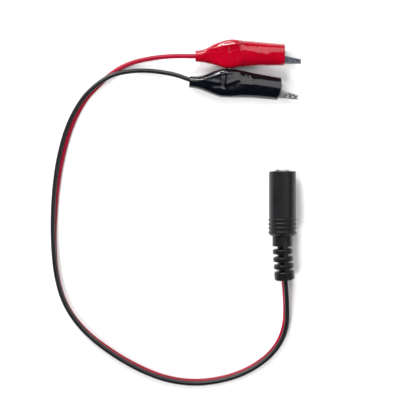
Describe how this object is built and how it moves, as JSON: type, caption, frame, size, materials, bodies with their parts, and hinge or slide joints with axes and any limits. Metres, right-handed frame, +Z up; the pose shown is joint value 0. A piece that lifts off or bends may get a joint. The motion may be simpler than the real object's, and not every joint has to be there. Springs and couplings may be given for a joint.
{
  "type": "alligator clip test lead",
  "caption": "Inline DC barrel socket on a bonded red and black wire pair that splits to two booted, sprung alligator clips, laid out in an open loop.",
  "frame": {"origin": "on the table, under the middle of the box round the socket and the two clips, wires left out", "axes": "+Z up from the table, +Y out of the socket's mouth along its axis, +X along the red clip towards its jaw tip"},
  "size_m": [0.0973, 0.1344, 0.011],
  "materials": {
    "housing_plastic": "moulded ABS, fine matte texture",
    "relief_pvc": "soft PVC, matte",
    "nickel_plate": "nickel plated brass, bright",
    "insulator_plastic": "black PBT, satin",
    "spring_bronze": "phosphor bronze strip",
    "inner_moulding": "natural polyethylene",
    "bare_copper": "tinned stranded copper",
    "solder": "solder, satin",
    "wire_red_pvc": "soft PVC, slight gloss",
    "wire_black_pvc": "soft PVC, slight gloss",
    "clip_steel": "nickel plated pressed steel",
    "spring_steel": "drawn spring wire",
    "boot_red_pvc": "flexible PVC, glossy",
    "boot_black_pvc": "flexible PVC, glossy"
  },
  "bodies": {
    "root": {"jack_housing": "housing_plastic", "strain_relief": "relief_pvc", "jack_shell": "nickel_plate", "jack_insulator": "insulator_plastic", "center_pin": "nickel_plate", "contact_leaf": "spring_bronze", "inner_mould": "inner_moulding", "jack_conductors": "bare_copper", "jack_solder": "solder", "wire_red": "wire_red_pvc", "wire_black": "wire_black_pvc", "red_fixed_jaw": "clip_steel", "red_pivot_rivet": "clip_steel", "red_spring": "spring_steel", "red_boot": "boot_red_pvc", "red_conductor": "bare_copper", "red_solder": "solder", "black_fixed_jaw": "clip_steel", "black_pivot_rivet": "clip_steel", "black_spring": "spring_steel", "black_boot": "boot_black_pvc", "black_conductor": "bare_copper", "black_solder": "solder"},
    "red_jaw": {"red_moving_jaw": "clip_steel"},
    "black_jaw": {"black_moving_jaw": "clip_steel"}
  },
  "joints": [
    {"name": "red_jaw_hinge", "type": "hinge", "parent": "root", "child": "red_jaw", "pos_m": [0.0058, 0.0399, 0.0041], "axis": [0, 0, 1], "range_deg": [0, 20], "stiffness_Nm_per_rad": 0.08, "springref_deg": -34.38, "deforming": ["red_spring"]},
    {"name": "black_jaw_hinge", "type": "hinge", "parent": "root", "child": "black_jaw", "pos_m": [0.00495, 0.02746, 0.0041], "axis": [0, 0, 1], "range_deg": [0, 20], "stiffness_Nm_per_rad": 0.08, "springref_deg": -34.38, "deforming": ["black_spring"]}
  ]
}
